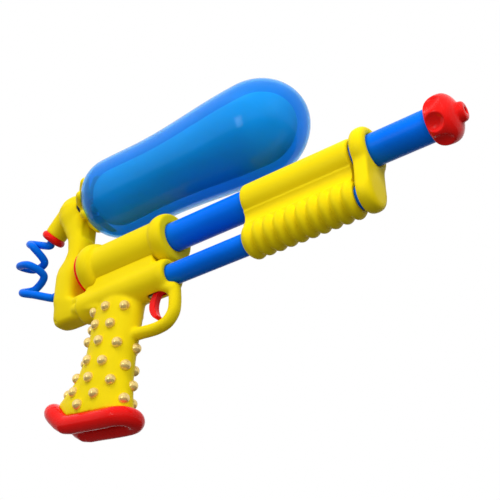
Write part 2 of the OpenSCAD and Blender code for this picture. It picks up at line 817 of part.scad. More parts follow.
// supply: from the hose inlet down the block, along the gallery to the valve
supply_x = -72.6;
supply_starts = [[2.6, -0.4, -0.3], [6.6, -5, -5]];
supply_bends = [[-60, -7, 8.5], [-48, -6, -2.5], [-33, -4.5, -4], [-26, -3.6, -5.6], [-20.5, -2.6, -9]];
supply_ends = [[-9, -1, 0.5], [-4, 0, 0]];
supply_route = concat([[supply_x, 0, hose_inlet_z]],
  [for (b = supply_starts) b + [supply_x, 0, hose_inlet_z]],
  [for (b = supply_bends) b + [0, 0, pump_z]],
  [for (b = supply_ends) b + [valve_rear, 0, valve_z]],
  [[valve_rear - free_gap, 0, valve_z]]);
module supply_line() {
  color(dark) line_run(supply_route, line_r - supply_slack);
}

// outlet: from the valve's side back along the gallery and up to the barrel
outlet_starts = [[1, 5.8, 0], [-6, 5.6, 0.1], [-12, 5.4, 0.8], [-18, 5.2, 3.7]];
outlet_bends = [[-25, 5, -6], [-34, 3.5, -4], [-45, 0.5, -2.5], [-54.5, -1, 0.5], [-59.8, -1.5, 10],
  [-62, -1.3, 22]];
outlet_top = [-60.5, 0, -2];
outlet_route = concat(
  [for (b = outlet_starts) b + [0, 0, valve_z]],
  [for (b = outlet_bends) b + [0, 0, pump_z]],
  [outlet_top + [0, 0, barrel_z], [post_front - coupler_hold - free_gap, 0, barrel_z]]);
module outlet_line() {
  color(dark) line_run(outlet_route, line_r - outlet_slack);
}

// hose: straight out of the gland, bends a quarter turn apart round the coil, straight into the block
coil_x = -130.5;
coil_y = -1;
coil_top_drop = 13;
coil_top = head_z - coil_top_drop;
coil_reach_shares = [0.5, 0.92, 1, 1, 1, 1, 1, 1, 1, 0.62];
coil_shift_shares = [-0.04, 0.08, 0.09, -0.14, -0.37, -0.04, 0.28, 0.46, 0.69, 1.23];
coil_drop_shares = [0, 0.156, 0.326, 0.348, 0.373, 0.468, 0.573, 0.723, 0.882, 1];
hose_bends = [for (i = [0:len(coil_reach_shares) - 1]) let (a = coil_face + 90 * i,
  r = coil_r * coil_reach_shares[i])
  [coil_x + coil_r * coil_shift_shares[i] + r * cos(a), coil_y + r * sin(a),
   coil_top - coil_drop * coil_drop_shares[i]]];
hose_step = 4;
hose_out_steps = [-2, -1, 0, 1, 2, 3];
hose_in_steps = [3, 2, 1, 0, -1, -2];
hose_out = [for (k = hose_out_steps) boss_mouth + k * hose_step * boss_dir];
hose_in = [for (k = hose_in_steps) [block_rear - k * hose_step, 0, hose_inlet_z]];
hose_sides = 8;
hose_steps = 6;
hose_route = concat(hose_out, hose_bends, hose_in);
hose_path = concat(smooth(hose_route, hose_steps), [hose_route[len(hose_route) - 1]]);
hose_near = 14;
hose_self_gap = min([for (i = [0:len(hose_path) - 1]) for (j = [i + hose_near:1:len(hose_path) - 1])
  norm(hose_path[i] - hose_path[j])]) - 2 * hose_r;
echo(hose_self_gap = hose_self_gap);

module coil_hose() {
  color(blue) skin(tube_rings(hose_path, hose_r, hose_sides, [0, 0, 1]));
}

gland_t = 6.5;
gland_round = 3;
module hose_gland() {
  color(red) from_boss(0) difference() {
    rotate_extrude() polygon(round_ring(0, gland_t, gland_r, hose_r + sit_gap, gland_round, 5));
    translate([0, 0, -overrun]) cylinder(h = overrun * 2, r = hose_r + sit_gap);
  }
}

// tank profile: rear dome, waist, bulge, front dome
profile_steps = 14;
function tank_radius(x) = x < waist_x
  ? mix(dome_r, waist_r, blend((x - dome_x) / (waist_x - dome_x)))
  : mix(waist_r, bulge_r, blend((x - waist_x) / (bulge_x - waist_x)));
function tank_outline(inset, r_min) = concat(
  [for (i = [1:profile_steps]) let (a = 90 * i / profile_steps, r = (dome_r - inset) * sin(a))
    if (r > r_min) [r, dome_x - (dome_r - inset) * cos(a)]],
  [for (i = [1:profile_steps]) let (x = mix(dome_x, bulge_x, i / profile_steps))
    [tank_radius(x) - inset, x]],
  [for (i = [1:profile_steps]) let (a = 90 * i / profile_steps)
    [i == profile_steps ? 0 : (bulge_r - inset) * cos(a), bulge_x + (front_len - inset) * sin(a)]]);
function dome_at(r, inset) = dome_x - sqrt((dome_r - inset) * (dome_r - inset) - r * r);
// profile of a closed tank with a neck of radius r from x0
function necked(r, x0, inset) = concat([[0, x0], [r, x0], [r, dome_at(r, inset)]], tank_outline(inset, r));

module tank_shell() {
  neck_in = tank_neck_r - tank_wall;
  color(blue) difference() {
    turned(necked(tank_neck_r, tank_neck_rear, 0), tank_z);
    turned(concat([[0, dome_at(neck_in, tank_wall)], [neck_in, dome_at(neck_in, tank_wall)]],
      tank_outline(tank_wall, neck_in)), tank_z);
    rod_x(tank_neck_rear - overrun, dome_x, neck_in, tank_z);
  }
}

bladder_wall = 1.2;
bladder_neck = 5;
bladder_set_in = 3;
module water_bladder() {
  neck_in = bladder_neck - bladder_wall;
  depth = bladder_inset + bladder_wall;
  color(blue) difference() {
    turned(necked(bladder_neck, tank_neck_rear + bladder_set_in, bladder_inset), tank_z);
    turned(concat([[0, dome_at(neck_in, depth)], [neck_in, dome_at(neck_in, depth)]],
      tank_outline(depth, neck_in)), tank_z);
    rod_x(tank_neck_rear - overrun, dome_x, neck_in, tank_z);
  }
}

clamp_set_in = 4;
clamp_len = 8;
module bladder_clamp() {
  x0 = tank_neck_rear + clamp_set_in;
  color(dark) tube_x(x0, x0 + clamp_len, tank_neck_r - tank_wall, bladder_neck, tank_z);
}

socket_floor = 1.5;
module tank_socket() {
  color(dark) difference() {
    rod_x(socket_rear, socket_front, tank_neck_r + socket_wall, tank_z);
    rod_x(tank_neck_rear - socket_floor, socket_front + overrun, tank_neck_r + run_gap, tank_z);
    rod_x(socket_rear - overrun, socket_front, bladder_neck, tank_z);
  }
}

neck_seal_gap = 0.4;
neck_seal_in = 1;
module neck_seal() {
  color(dark) tube_x(tank_neck_rear - socket_floor, tank_neck_rear - neck_seal_gap, tank_neck_r,
    bladder_neck + neck_seal_in, tank_z);
}

// fluted collar: fingers that fan out from the head to the tank's dome
collar_rear = -50;
collar_t = 8;
collar_r = 18.5;
finger_tip = [-36.5, 27];
finger_root = [-50, 15];
finger_taper = 1;
module tank_collar() {
  color(yellow) difference() {
    union() {
      rod_x(collar_rear, collar_rear + collar_t, collar_r, tank_z, $fn = 48);
      for (i = [0:finger_count - 1]) translate([0, 0, tank_z]) rotate([360 * i / finger_count, 0, 0])
        hull() {
          translate([finger_root[0], 0, -finger_root[1]]) sphere(finger_r - finger_taper, $fn = 16);
          translate([finger_tip[0], 0, -finger_tip[1]]) sphere(finger_r, $fn = 16);
        }
    }
    translate([dome_x, 0, tank_z]) sphere(outer(dome_r + move_gap, 48), $fn = 48);
    along_x(collar_rear - overrun, tank_z)
      cylinder(h = overrun * 2, r = outer(tank_neck_r + move_gap, 64));
    along_x(collar_rear - overrun, tank_z) cylinder(h = overrun, r = head_r * 2);
  }
}

// handle: smooth sleeve, ribbed lobe, waist between them
rib_steps = 6;
rib_pitch = handle_len / rib_count;
lobe_points = concat([[0, handle_rear]],
  [for (i = [0:rib_count - 1]) for (j = [0:rib_steps - 1]) let (t = j / rib_steps)
    [rib_crest_r - rib_depth * (1 - sin(180 * t)), handle_rear + rib_pitch * (i + t)]],
  [[rib_crest_r - rib_depth, handle_front], [0, handle_front]]);
waist_half = 10.8;
waist_end = 1;
sleeve_round = 3;
key_land = 4;
key_root = 1;
key_top = pump_drop - barrel_r - key_land;
module pump_handle() {
  color(yellow) difference() {
    union() {
      turned(round_ring(handle_rear, handle_front, sleeve_r, 0, sleeve_round, 5), barrel_z);
      turned(lobe_points, pump_z);
      translate([handle_rear + waist_end, -waist_half, pump_z])
        cube([handle_len - waist_end * 2, waist_half * 2, pump_drop]);
    }
    rod_x(handle_rear - overrun, handle_front + overrun, barrel_r + run_gap, barrel_z);
    rod_x(handle_rear - overrun, handle_front + overrun, pump_r + run_gap, pump_z);
    translate([key_x, -key_t / 2, pump_z]) cube([key_len, key_t, key_top]);
  }
}

module drive_key() {
  color(steel) translate([key_x, -key_t / 2, pump_z + key_root])
    cube([key_len, key_t, key_top - key_root]);
}

rod_hold = 4;
piston_lead = 8;
piston_front = key_x - stroke - piston_lead;
piston_r = pump_r - tube_wall - run_gap;
groove_set_in = 2;
groove_x = piston_front - piston_len / 2 - groove_set_in;
module pump_rod() {
  color(steel) difference() {
    rod_x(piston_front - rod_hold, key_x + key_len + rod_hold, rod_r, pump_z);
    translate([key_x, -key_t / 2, pump_z + key_root]) cube([key_len, key_t, pump_drop]);
  }
}

module pump_piston() {
  groove_half = piston_seal_r + sit_gap;
  color(dark) difference() {
    rod_x(piston_front - piston_len, piston_front, piston_r, pump_z);
    rod_x(piston_front - rod_hold, piston_front + overrun, rod_r, pump_z);
    tube_x(groove_x - groove_half, groove_x + groove_half, pump_r, piston_r - piston_seal_r * 2, pump_z);
  }
}

module piston_seal() {
  color(dark) along_x(groove_x, pump_z) rotate_extrude()
    translate([piston_r - piston_seal_r, 0]) circle(piston_seal_r);
}

// trigger: saddle round the pump tube, blade bowed to the rear
blade_steps = 10;
blade_lift = 13;
blade_tip_angle = 39;
blade_mid_z = pump_z - blade_drop + blade_lift;
blade_face_x = 50.5;
blade_thin_share = 0.55;
blade_root_gap = 0.8;
// the blade's top runs into the middle of the saddle
blade_top_angle = asin((pump_z - (saddle_in + saddle_out) / 2 - blade_mid_z) / blade_bow_r);
saddle_cap = 1.6;
notch_drop = 4;
notch_z = valve_z - notch_drop;
function blade_point(r, a) = [blade_face_x + blade_bow_r - r * cos(a), blade_mid_z + r * sin(a)];
function blade_thick(t) = blade_t * mix(blade_thin_share, 1, sin(180 * t));
blade_outline = concat(
  [for (i = [0:blade_steps])
    blade_point(blade_bow_r, mix(-blade_tip_angle, blade_top_angle, i / blade_steps))],
  [for (i = [0:blade_steps]) let (t = i / blade_steps)
    blade_point(blade_bow_r + blade_thick(t), mix(blade_top_angle, -blade_tip_angle, t))]);
module trigger() {
  color(red) difference() {
    union() {
      intersection() {
        tube_x(pivot_x - saddle_half, pivot_x + saddle_half, saddle_out, saddle_in, pump_z);
        translate([-overrun, -overrun, pump_z - overrun])
          cube([overrun * 3, overrun * 2, overrun + pin_r + saddle_cap]);
      }
      difference() {
        translate([0, blade_w / 2, 0]) rotate([90, 0, 0]) linear_extrude(blade_w) polygon(blade_outline);
        rod_x(0, overrun * 2, saddle_in + blade_root_gap, pump_z);
      }
    }
    translate([pivot_x - saddle_half - overrun, -stem_r - move_gap, notch_z])
      cube([overrun, (stem_r + move_gap) * 2, overrun]);
    translate([pivot_x, 0, pump_z]) rotate([90, 0, 0])
      cylinder(h = overrun, r = pin_r + run_gap, center = true);
  }
}

pin_len = 4.4;
module trigger_pins() {
  color(steel) for (s = [-1, 1]) translate([pivot_x, s * (pump_r + free_gap), pump_z])
    rotate([-90 * s, 0, 0]) cylinder(h = pin_len, r = pin_r);
}

valve_guide = 12;
chamber_rear = 4;
chamber_front = 11;
chamber_gap = 1.1;
module valve_body() {
  color(dark) difference() {
    rod_x(valve_rear, valve_front, valve_r, valve_z);
    rod_x(valve_front - valve_guide, valve_front + overrun, stem_r + run_gap, valve_z);
    rod_x(valve_rear + chamber_rear, valve_front - chamber_front, stem_r + chamber_gap, valve_z);
    rod_x(valve_rear - overrun, valve_front - chamber_front, line_bore_r, valve_z);
  }
}

plunger_gap = 0.3;
plunger_in = 8;
plunger_tip = pivot_x - saddle_half - plunger_gap;
spring_len = 6.4;
stop_t = 1.2;
stop_w = 1.6;
module valve_plunger() {
  color(steel) union() {
    rod_x(valve_rear + plunger_in, plunger_tip, stem_r, valve_z);
    rod_x(valve_front + spring_len, valve_front + spring_len + stop_t, stem_r + stop_w, valve_z);
  }
}

valve_seal_in = 9.2;
valve_seal_t = 2;
valve_seal_w = 0.9;
module valve_seal() {
  x0 = valve_rear + valve_seal_in;
  color(dark) tube_x(x0, x0 + valve_seal_t, stem_r + valve_seal_w, stem_r, valve_z);
}

spring_turns = 4;
spring_wire_r = 0.4;
spring_rings = 12;
spring_sides = 6;
spring_r = stem_r + valve_seal_w;
spring_count = spring_turns * spring_rings;
spring_run = spring_len - 2 * spring_wire_r - 2 * sit_gap;
spring_path = [for (i = [0:spring_count]) let (a = 360 * i / spring_rings)
  [valve_front + spring_wire_r + sit_gap + spring_run * i / spring_count,
   spring_r * cos(a), valve_z + spring_r * sin(a)]];
module valve_spring() {
  color(steel) skin(tube_rings(spring_path, spring_wire_r, spring_sides, [1, 0, 0]));
}

// nozzle: flare from the tube, shoulder, onion dome, tip bead
nozzle_front = nozzle_rear + nozzle_len;
nozzle_lip = 2;
nozzle_shoulder = 11;
nozzle_bead = 6.4;
nozzle_root_r = barrel_r + nozzle_lip;
nozzle_dome = nozzle_len - nozzle_shoulder - nozzle_bead;
onion_share = 0.05;
shoulder_steps = 8;
dome_steps = 12;
function onion(t) = mix(cos(90 * t), (1 + cos(180 * t)) / 2, onion_share);
nozzle_points = concat(
  [[0, nozzle_rear]],
  [for (i = [0:shoulder_steps]) let (a = 90 * i / shoulder_steps)
    [mix(nozzle_root_r, nozzle_r, sin(a)), nozzle_rear + nozzle_shoulder * (1 - cos(a))]],
  [for (i = [1:dome_steps]) let (t = i / dome_steps)
    [mix(nozzle_neck_r, nozzle_r, onion(t)), nozzle_rear + nozzle_shoulder + nozzle_dome * t]],
  [for (i = [1:shoulder_steps]) let (a = 180 * i / shoulder_steps)
    [mix(nozzle_neck_r, nozzle_tip_r, sin(a)), nozzle_front - nozzle_bead * (1 + cos(a)) / 2]],
  [[0, nozzle_front]]);
jet_r = 3.4;
jet_back = 13;
outlet_len = 6;
jet_rear = nozzle_front - jet_back;
dent_x = 12;
dent_deep = 4.4;
face_gap = 0.1;
face_seal_t = 0.5;
face_seal_w = 1;
face_room = face_gap + face_seal_t;
module nozzle_cap() {
  color(red) difference() {
    turned(nozzle_points, barrel_z);
    for (i = [0:dent_count - 1]) translate([nozzle_rear + dent_x, 0, barrel_z])
      rotate([360 * (i + 0.5) / dent_count, 0, 0])
        translate([0, 0, nozzle_r + dent_r - dent_deep]) sphere(dent_r);
    rod_x(nozzle_rear - overrun, barrel_front + face_room, barrel_r + run_gap, barrel_z);
    rod_x(nozzle_rear, nozzle_front - outlet_len, jet_r, barrel_z);
    rod_x(nozzle_rear, nozzle_front + overrun, outlet_r, barrel_z);
  }
}

jet_wall = 1;
module nozzle_jet() {
  color(gold) tube_x(jet_rear, nozzle_front - outlet_len, jet_r, outlet_r - jet_wall, barrel_z);
}

module nozzle_seal() {
  color(dark) tube_x(barrel_front + face_gap, barrel_front + face_room, barrel_r - face_seal_t,
    jet_r + face_seal_w, barrel_z);
}

body_right();
body_left();
body_screws();
grip_studs();
base_ring();
barrel_housing();
barrel_tube();
barrel_gasket();
barrel_plug();
rear_coupler();
jet_tube();
front_yoke();
pump_tube();
pump_plug();
check_ball();
air_line();
supply_line();
outlet_line();
hose_gland();
coil_hose();
tank_socket();
neck_seal();
tank_collar();
tank_shell();
water_bladder();
bladder_clamp();
pump_handle();
drive_key();
pump_rod();
pump_piston();
piston_seal();
trigger();
trigger_pins();
valve_body();
valve_plunger();
valve_seal();
valve_spring();
nozzle_cap();
nozzle_jet();
nozzle_seal();
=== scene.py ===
# %% [markdown]
# # A pump water squirter, dressed for its portrait
# The CAD model already gives every piece its size and place, in metres, with the hand's centre
# in the grip at the origin, +X to the muzzle and +Z up. This lesson loads that frame, then builds
# the soft, rounded skins that moulded toy plastic has, and gives every piece its finish.

# %% Load the frame
import bpy
import json
import math
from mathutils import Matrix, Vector


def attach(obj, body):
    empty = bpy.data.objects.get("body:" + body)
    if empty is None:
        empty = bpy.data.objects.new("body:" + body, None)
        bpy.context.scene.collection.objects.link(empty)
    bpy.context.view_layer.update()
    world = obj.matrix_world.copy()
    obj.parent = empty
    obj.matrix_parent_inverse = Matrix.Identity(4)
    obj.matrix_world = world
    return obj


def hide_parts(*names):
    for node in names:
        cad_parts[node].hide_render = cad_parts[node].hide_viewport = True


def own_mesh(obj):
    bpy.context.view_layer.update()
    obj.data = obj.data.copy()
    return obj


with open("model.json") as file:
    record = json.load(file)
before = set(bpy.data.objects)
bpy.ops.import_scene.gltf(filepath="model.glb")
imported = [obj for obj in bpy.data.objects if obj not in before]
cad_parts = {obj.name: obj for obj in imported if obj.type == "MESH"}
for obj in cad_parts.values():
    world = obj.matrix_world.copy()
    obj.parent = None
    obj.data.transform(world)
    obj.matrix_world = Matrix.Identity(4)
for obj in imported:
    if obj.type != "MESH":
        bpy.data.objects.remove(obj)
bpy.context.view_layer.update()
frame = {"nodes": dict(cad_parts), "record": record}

nodes = frame["nodes"]
MM = 0.001

# %% [markdown]
# ## The camera
# The photograph looks up at the squirter from below its muzzle. Two straight tubes and the round
# tank fixed the focal length, the two angles and the place of the lens, so the camera is set from
# those numbers instead of by eye. A camera looks down its own -Z, so 90 degrees less the elevation
# about X and then the azimuth about Z point it at the object.

# %% Camera
CAMERA_PLACE = (0.51209, -0.48164, -0.32795)
CAMERA_AZIMUTH = math.radians(36.783)
CAMERA_ELEVATION = math.radians(-32.730)
CAMERA_LENS = 62.28
CAMERA_SENSOR = 36
CAMERA_NEAR = 0.01

bpy.ops.object.select_all(action="DESELECT")
bpy.ops.object.camera_add(location=CAMERA_PLACE,
                          rotation=(math.pi / 2 - CAMERA_ELEVATION, 0, CAMERA_AZIMUTH))
camera = bpy.context.object
camera.name = "portrait_camera"
camera.data.lens = CAMERA_LENS
camera.data.sensor_width = CAMERA_SENSOR
camera.data.clip_start = CAMERA_NEAR
bpy.context.scene.camera = camera
print("camera at", CAMERA_PLACE)

# %% [markdown]
# ## Small helpers
# An operator acts on whatever is selected, so every step starts by selecting only its own object.
# A modifier is set up and applied in one go, and edit mode is entered either with everything
# selected or with the parts that a test picks out.

# %% Helpers for selecting and editing
MERGE = 1e-6


def deselect():
    bpy.ops.object.select_all(action="DESELECT")


def only(obj):
    deselect()
    obj.select_set(True)
    bpy.context.view_layer.objects.active = obj


def add_modifier(obj, kind, **settings):
    """Adds one modifier, sets it up and applies it."""
    only(obj)
    modifier = obj.modifiers.new(kind.lower(), kind)
    for key, value in settings.items():
        setattr(modifier, key, value)
    bpy.ops.object.modifier_apply(modifier=modifier.name)


def settle(obj):
    """Puts an object's place, turn and size into its mesh."""
    only(obj)
    bpy.ops.object.transform_apply(location=True, rotation=True, scale=True)


def edit_all(obj):
    """Opens an object in edit mode with everything selected."""
    only(obj)
    bpy.ops.object.mode_set(mode="EDIT")
    bpy.ops.mesh.select_all(action="SELECT")


def edit_some(obj, kind, parts, test):
    """Opens an object in edit mode with only those of its parts selected that pass a test."""
    only(obj)
    bpy.ops.object.mode_set(mode="EDIT")
    bpy.ops.mesh.select_mode(type=kind)
    bpy.ops.mesh.select_all(action="DESELECT")
    bpy.ops.object.mode_set(mode="OBJECT")
    for part in getattr(obj.data, parts):
        part.select = test(part)
    bpy.ops.object.mode_set(mode="EDIT")


def leave_edit():
    bpy.ops.object.mode_set(mode="OBJECT")


# %% [markdown]
# Every piece ends the same way: it rides on the body it belongs to, it takes its finish from one of
# the record's slots and it stands for the CAD node that it dresses. Wrapping those lines in one
# helper keeps the later cells about shape. The slots are noted for the finishes further down.

# %% Helper for finishing a piece
piece_slot = {}


def dress(obj, name, body, slot, node):
    obj.name = name
    obj.data.name = name
    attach(obj, body)
    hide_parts(node)
    piece_slot[name] = slot
    print(name, len(obj.data.polygons), "faces")


# %% [markdown]
# ## The coiled hose
# A thin blue hose leaves the red gland behind the head, makes two and a half loops and goes back
# into the block. Its centre line is the CAD's own: straight out of the boss, ten bends a quarter
# turn apart round a coil that drifts forward as it drops, and straight into the block. One open
# curve with a round bevel is the natural tool for a hose.

# %% Hose route
BARREL_Z, HEAD_Z, BLOCK_REAR = 105.0, 187.0, -81.0
HOSE_R, HOSE_STEP = 4.0, 4.0
COIL = dict(x=-130.5, y=-1.0, top=HEAD_Z - 13, r=11.0, drop=70.5, face=217.0, turn=90)
COIL_REACH = (0.5, 0.92, 1, 1, 1, 1, 1, 1, 1, 0.62)
COIL_SHIFT = (-0.04, 0.08, 0.09, -0.14, -0.37, -0.04, 0.28, 0.46, 0.69, 1.23)
COIL_DROP = (0, 0.156, 0.326, 0.348, 0.373, 0.468, 0.573, 0.723, 0.882, 1)
BOSS_MOUTH = Vector((-102.0, 0.0, HEAD_Z - 14))
BOSS_ANGLE = math.radians(225)
BOSS_WAY = Vector((math.sin(BOSS_ANGLE), 0, math.cos(BOSS_ANGLE)))
INLET_Z = BARREL_Z - 9


def spline_through(points, steps):
    """Points on a smooth curve through a few points, without the last one."""
    out = []
    for i in range(len(points) - 1):
        a, b = points[max(0, i - 1)], points[i]
        c, d = points[i + 1], points[min(len(points) - 1, i + 2)]
        for k in range(steps):
            t = k / steps
            out.append((b * 2 + (c - a) * t + (a * 2 - b * 5 + c * 4 - d) * t * t
                        + (b * 3 - a - c * 3 + d) * t * t * t) / 2)
    return out


def coil_bend(i):
    angle = math.radians(COIL["face"] + COIL["turn"] * i)
    r = COIL["r"] * COIL_REACH[i]
    return Vector((COIL["x"] + COIL["r"] * COIL_SHIFT[i] + r * math.cos(angle),
                   COIL["y"] + r * math.sin(angle), COIL["top"] - COIL["drop"] * COIL_DROP[i]))


hose_path = [BOSS_MOUTH + BOSS_WAY * HOSE_STEP * k for k in (-2, -1, 0, 1, 2, 3)]
hose_path += [coil_bend(i) for i in range(len(COIL_REACH))]
hose_path += [Vector((BLOCK_REAR - HOSE_STEP * k, 0, INLET_Z)) for k in (3, 2, 1, 0, -1, -2)]
print("hose points:", len(hose_path))

# %% [markdown]
# A poly spline keeps the line exactly where the CAD has it. Extra points are laid between the
# route's own, so that the bends are round, and the bevel gives the hose its thickness. The curve is
# then turned into a mesh, because Blender measures the box of a mesh more closely.

# %% Hose piece
HOSE_FINENESS = 18
HOSE_ROUNDNESS = 8

hose_line = [p * MM for p in spline_through(hose_path, HOSE_FINENESS)] + [hose_path[-1] * MM]
hose_data = bpy.data.curves.new("coil_hose_skin", "CURVE")
hose_data.dimensions = "3D"
hose_data.bevel_depth = HOSE_R * MM
hose_data.bevel_resolution = HOSE_ROUNDNESS
hose_data.use_fill_caps = True
hose_spline = hose_data.splines.new("POLY")
hose_spline.points.add(len(hose_line) - 1)
for point, place in zip(hose_spline.points, hose_line):
    point.co = (*place, 1)
hose = bpy.data.objects.new("coil_hose_skin", hose_data)
bpy.context.scene.collection.objects.link(hose)
only(hose)
bpy.ops.object.convert(target="MESH")
hose = bpy.context.object
dress(hose, "coil_hose_skin", "body", "blue", "coil_hose")

# %% [markdown]
# ## The body shell
# The real body is two moulded halves with generous soft blends where the grip, guard, block and
# post run together. The CAD halves have the true lofts but hard creases. Here a copy of both is
# joined, the two walls on the split are taken out, and the rest is turned into one even skin by a
# voxel remesh and relaxed, so that every inner corner becomes a soft fillet.

# %% Body skin
BODY_VOXEL, BODY_RELAX = 0.0009, 24
SPLIT_FLATNESS = 0.99
SEAM_MERGE = 2e-5
RELAX_FACTOR = 0.5


def copy_of(*names):
    """One new mesh object made of copies of CAD nodes, their doubles merged."""
    copies = []
    for name in names:
        copy = bpy.data.objects.new(name + "_copy", nodes[name].data.copy())
        bpy.context.scene.collection.objects.link(copy)
        copies.append(copy)
    deselect()
    for copy in copies:
        copy.select_set(True)
    bpy.context.view_layer.objects.active = copies[0]
    if len(copies) > 1:
        bpy.ops.object.join()
    joined = bpy.context.view_layer.objects.active
    joined.data.materials.clear()
    edit_all(joined)
    bpy.ops.mesh.remove_doubles(threshold=MERGE)
    leave_edit()
    return joined


def on_split(face):
    return abs(face.center.y) < MERGE and abs(face.normal.y) > SPLIT_FLATNESS


body_skin = copy_of("body_right", "body_left")
edit_some(body_skin, "FACE", "polygons", on_split)
bpy.ops.mesh.delete(type="FACE")
bpy.ops.mesh.select_all(action="SELECT")
bpy.ops.mesh.remove_doubles(threshold=SEAM_MERGE)
leave_edit()
add_modifier(body_skin, "REMESH", mode="VOXEL", voxel_size=BODY_VOXEL)
add_modifier(body_skin, "SMOOTH", factor=RELAX_FACTOR, iterations=BODY_RELAX)
print("body skin faces", len(body_skin.data.polygons))

# %% [markdown]
# Each half is a copy of the skin with the other side cut away and the cut closed. A hair's
# breadth between the two leaves the fine parting line that a moulded shell shows.

# %% Body halves
PART_LINE = 0.00005
BODY_SHARP = math.radians(50)


def half_of(obj, side):
    half = obj.copy()
    half.data = obj.data.copy()
    bpy.context.scene.collection.objects.link(half)
    edit_all(half)
    bpy.ops.mesh.bisect(plane_co=(0, side * PART_LINE, 0), plane_no=(0, -side, 0),
                        use_fill=True, clear_outer=True)
    leave_edit()
    return half


for side, name, node in ((-1, "body_shell_right", "body_right"), (1, "body_shell_left", "body_left")):
    shell = half_of(body_skin, side)
    only(shell)
    bpy.ops.object.shade_smooth_by_angle(angle=BODY_SHARP)
    dress(shell, name, "body", "yellow", node)
bpy.data.objects.remove(body_skin)

# %% [markdown]
# ## Turned pieces
# The tank, the barrel housing and the nozzle are round about their own axis. A profile is drawn
# once as a chain of vertices in the XZ plane and spun a full turn round the axis, which is how a
# lathe would see it.

# %% Lathe helper
def lathe(profile, axis_z, segments=128):
    """Spins a profile of (x, radius) points, in millimetres, round a line along X."""
    deselect()
    bpy.ops.mesh.primitive_plane_add(size=1)
    obj = bpy.context.object
    edit_all(obj)
    bpy.ops.mesh.delete(type="VERT")
    leave_edit()
    verts = [(x * MM, 0, axis_z * MM + max(r, 0) * MM) for x, r in profile]
    edges = [(i, i + 1) for i in range(len(verts) - 1)]
    obj.data.from_pydata(verts, edges, [])
    edit_all(obj)
    bpy.ops.mesh.spin(steps=segments, angle=2 * math.pi, center=(0, 0, axis_z * MM), axis=(1, 0, 0))
    bpy.ops.mesh.select_all(action="SELECT")
    bpy.ops.mesh.remove_doubles(threshold=MERGE)
    bpy.ops.mesh.normals_make_consistent(inside=False)
    leave_edit()
    return obj


# %% [markdown]
# ## The tank's outline
# The tank is shaped like a bean: a round rear dome, a slight waist, a fuller bulge and a long round
# front. The outline follows the CAD, drawn here with many more points so that reflections run
# without a crease. The same outline, moved inwards, gives the inner wall and the bladder.

# %% Tank outline
TANK_Z = 185.5
TANK = dict(dome_r=39.4, dome_x=-9.0, waist_r=38.4, waist_x=42.0, bulge_r=43.8, bulge_x=160.0,
            front=50.0, wall=2.4, neck_r=11.0, neck_rear=-72.0, sides=160)


def ease(t):
    t = min(1.0, max(0.0, t))
    return (1 - math.cos(math.pi * t)) / 2


def tank_radius(x):
    if x < TANK["waist_x"]:
        t = ease((x - TANK["dome_x"]) / (TANK["waist_x"] - TANK["dome_x"]))
        return TANK["dome_r"] + (TANK["waist_r"] - TANK["dome_r"]) * t
    t = ease((x - TANK["waist_x"]) / (TANK["bulge_x"] - TANK["waist_x"]))
    return TANK["waist_r"] + (TANK["bulge_r"] - TANK["waist_r"]) * t


def tank_profile(inset, start_r, steps=48):
    """(x, radius) from the rear dome to the front tip, moved in by inset."""
    r = TANK["dome_r"] - inset
    first = math.asin(start_r / r)
    points = [(TANK["dome_x"] - r * math.cos(a), r * math.sin(a))
              for a in (first + (math.pi / 2 - first) * i / steps for i in range(steps + 1))]
    span = TANK["bulge_x"] - TANK["dome_x"]
    points += [(x, tank_radius(x) - inset)
               for x in (TANK["dome_x"] + span * i / steps for i in range(1, steps + 1))]
    tip = TANK["front"] - inset
    points += [(TANK["bulge_x"] + tip * math.sin(a), (TANK["bulge_r"] - inset) * math.cos(a))
               for a in (math.pi / 2 * i / steps for i in range(1, steps + 1))]
    points[-1] = (points[-1][0], 0.0)
    return points


outer = tank_profile(0, TANK["neck_r"])
inner = tank_profile(TANK["wall"], TANK["neck_r"] - TANK["wall"])
print("tank outline", len(outer), "points")

# %% [markdown]
# ## The tank and its bladder
# The shell gets a real inner wall, because clear plastic only looks right when light crosses two
# faces. In the photograph the underside hangs fuller than the top, so the lower half of the mesh is
# stretched downwards from the axis, where the wall stands upright and no crease can form. The shell
# casts no shadow of its own, so that the lamps reach the darker bladder behind it; the bladder's
# shadow stands for both.

# %% Tank and bladder
BELLY = dict(stretch=1.12, rear=TANK["dome_x"] - TANK["dome_r"] + 4, below=TANK_Z - 0.01)
BLADDER = dict(inset=12.0, neck_r=5.0, neck_rear=TANK["neck_rear"] + 3)
TANK_SHARP = math.radians(40)


def in_belly(vertex):
    return vertex.co.x > BELLY["rear"] * MM and vertex.co.z < BELLY["below"] * MM


def turn_tank(profile):
    """Turns a tank outline, fills its belly and smooths it."""
    obj = lathe(profile, TANK_Z, TANK["sides"])
    edit_some(obj, "VERT", "vertices", in_belly)
    bpy.ops.transform.resize(value=(1, 1, BELLY["stretch"]), center_override=(0, 0, TANK_Z * MM))
    leave_edit()
    only(obj)
    bpy.ops.object.shade_smooth_by_angle(angle=TANK_SHARP)
    return obj


neck_in = (TANK["neck_rear"], TANK["neck_r"] - TANK["wall"])
neck_out = (TANK["neck_rear"], TANK["neck_r"])
tank_skin = turn_tank(list(reversed(inner)) + [neck_in, neck_out] + outer)
tank_skin.visible_shadow = False
dress(tank_skin, "tank_clear_shell", "tank", "tank", "tank_shell")

bladder_neck = [(BLADDER["neck_rear"], 0.0), (BLADDER["neck_rear"], BLADDER["neck_r"])]
bladder = turn_tank(bladder_neck + tank_profile(BLADDER["inset"], BLADDER["neck_r"]))
dress(bladder, "tank_bladder", "tank", "bladder", "water_bladder")

